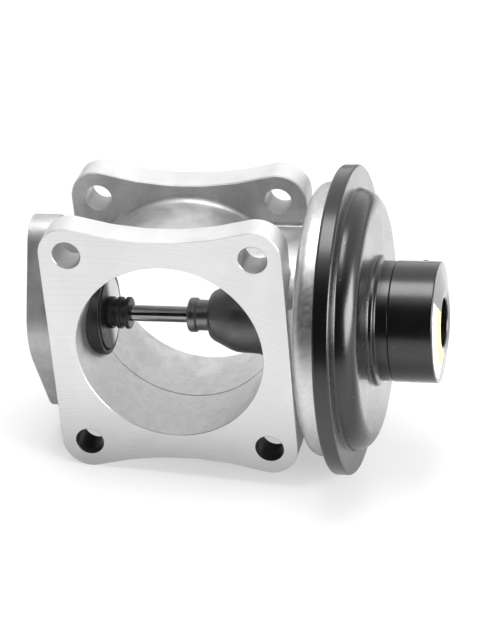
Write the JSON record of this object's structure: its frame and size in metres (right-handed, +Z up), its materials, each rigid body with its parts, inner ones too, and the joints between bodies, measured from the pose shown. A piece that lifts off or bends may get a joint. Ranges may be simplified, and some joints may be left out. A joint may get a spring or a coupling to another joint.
{
  "type": "egr valve",
  "caption": "Vacuum-operated exhaust gas recirculation valve: cast duct with square flanges, side exhaust port, poppet on a cross stem and a round black diaphragm canister.",
  "frame": {"origin": "centre of the duct on the manifold flange's face", "axes": "+X along the stem from the exhaust port to the canister, +Y along the duct towards the manifold, +Z up"},
  "size_m": [0.1265, 0.0948, 0.0948],
  "materials": {
    "cast_aluminium": "cast, with machined faces and bores",
    "dark_steel": "heat-darkened, turned",
    "bright_steel": "ground",
    "plated_steel": "pressed and plated, satin",
    "black_coating": "satin black coating",
    "seal_rubber": "moulded",
    "gasket_fibre": "pressed fibre sheet"
  },
  "bodies": {
    "housing": {"valve_body": "cast_aluminium", "valve_seat": "dark_steel", "guide_bush": "bright_steel", "stem_seal": "seal_rubber", "seal_retainer": "plated_steel", "base_gasket": "gasket_fibre", "lower_housing": "plated_steel", "housing_screws": "plated_steel", "upper_housing": "black_coating", "spring_cap": "black_coating", "cap_seal": "seal_rubber", "spring_seat": "plated_steel", "return_spring": "bright_steel", "vacuum_nipple": "bright_steel", "diaphragm": "seal_rubber"},
    "poppet": {"valve_stem": "bright_steel", "valve_head": "dark_steel", "head_collar": "dark_steel", "diaphragm_plate": "plated_steel", "piston_cup": "plated_steel", "stem_washer": "plated_steel", "stem_nut": "plated_steel"}
  },
  "joints": [
    {"name": "valve_lift", "type": "slide", "parent": "housing", "child": "poppet", "axis": [1, 0, 0], "range_m": [0, 0.006], "stiffness_N_per_m": 3000, "springref_m": -0.004, "deforming": ["return_spring", "diaphragm"]}
  ]
}
